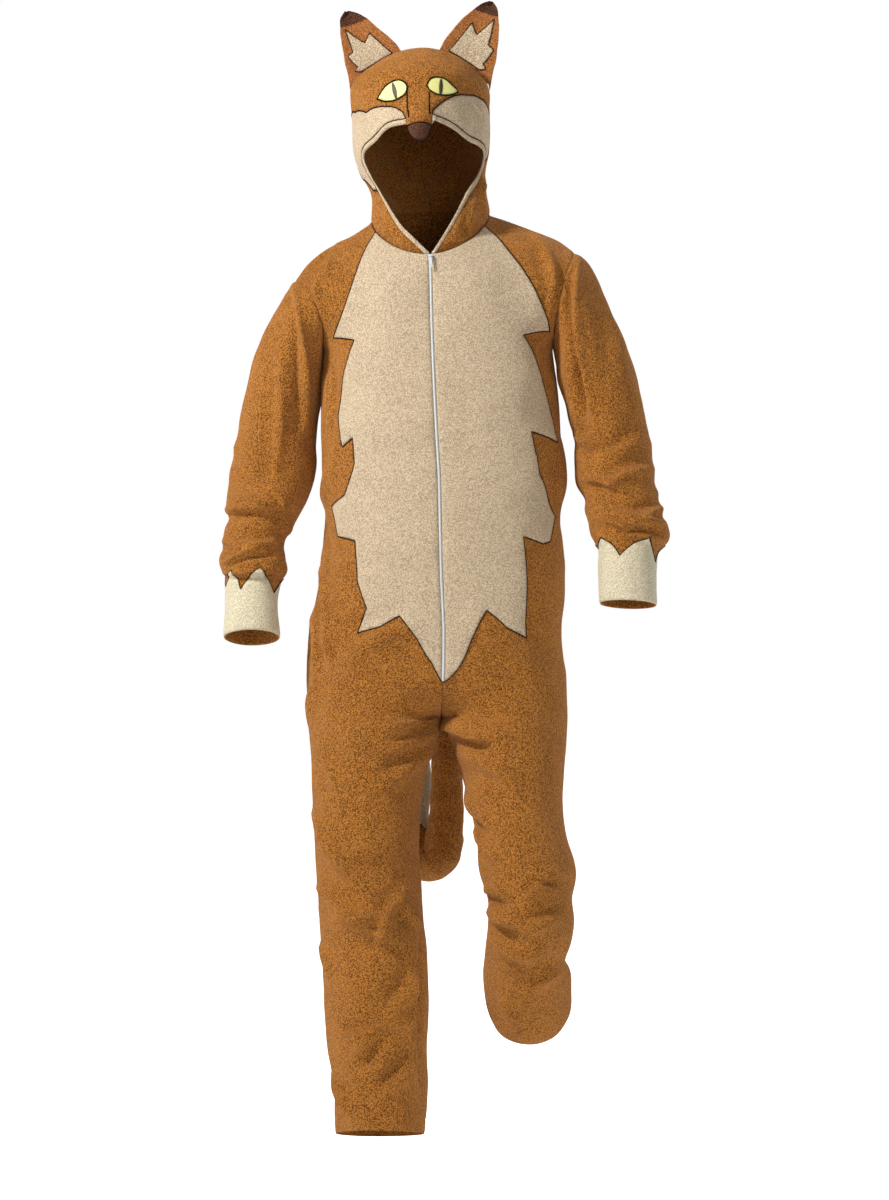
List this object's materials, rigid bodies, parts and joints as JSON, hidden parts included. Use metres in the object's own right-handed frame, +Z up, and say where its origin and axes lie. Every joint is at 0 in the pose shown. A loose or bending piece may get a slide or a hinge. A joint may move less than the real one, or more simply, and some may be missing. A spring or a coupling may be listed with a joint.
{
  "type": "fox costume",
  "caption": "Fleece fox costume: a hooded jumpsuit with a fox face and ears on the hood, a pale belly and cuffs, a front zip and a stuffed tail, filled out as worn.",
  "frame": {"origin": "centre of the neck at shoulder height, where the wearer's shoulders carry the costume", "axes": "+Z up, towards the ears; -Y the way the costume faces; +X towards the wearer's left"},
  "size_m": [0.7139, 0.5111, 1.806],
  "materials": {
    "brown_fleece": "brushed fleece, matte",
    "cream_fleece": "brushed fleece, matte",
    "pale_fleece": "brushed fleece, matte",
    "ear_fleece": "brushed fleece, matte",
    "dark_fleece": "brushed fleece, matte",
    "eye_satin": "satin",
    "black_satin": "satin",
    "zip_tape": "matte",
    "zip_metal": "white enamel"
  },
  "bodies": {
    "garment": {"front_right": "brown_fleece", "front_left": "brown_fleece", "back_right": "brown_fleece", "back_left": "brown_fleece", "sleeve_right": "brown_fleece", "sleeve_left": "brown_fleece", "hood_right": "brown_fleece", "hood_left": "brown_fleece", "face_panel": "brown_fleece", "tail": "brown_fleece", "belly_right": "cream_fleece", "belly_left": "cream_fleece", "cheek_right": "cream_fleece", "cheek_left": "cream_fleece", "binding_right": "cream_fleece", "binding_left": "cream_fleece", "ear_fur_right": "cream_fleece", "ear_fur_left": "cream_fleece", "tail_tip": "cream_fleece", "cuff_right": "pale_fleece", "cuff_left": "pale_fleece", "ear_right": "ear_fleece", "ear_left": "ear_fleece", "ear_tip_right": "dark_fleece", "ear_tip_left": "dark_fleece", "nose": "dark_fleece", "eye_right": "eye_satin", "eye_left": "eye_satin", "pupil_right": "black_satin", "pupil_left": "black_satin", "tear_right": "black_satin", "tear_left": "black_satin", "zip_chain": "zip_tape", "zip_slider": "zip_metal"},
    "zip_pull": {"zip_pull": "zip_metal"}
  },
  "joints": [
    {"name": "zip_pull_swing", "type": "hinge", "parent": "garment", "child": "zip_pull", "pos_m": [-0.0119, -0.10582, -0.0611], "axis": [-1, 0, 0], "range_deg": [0, 150]}
  ]
}
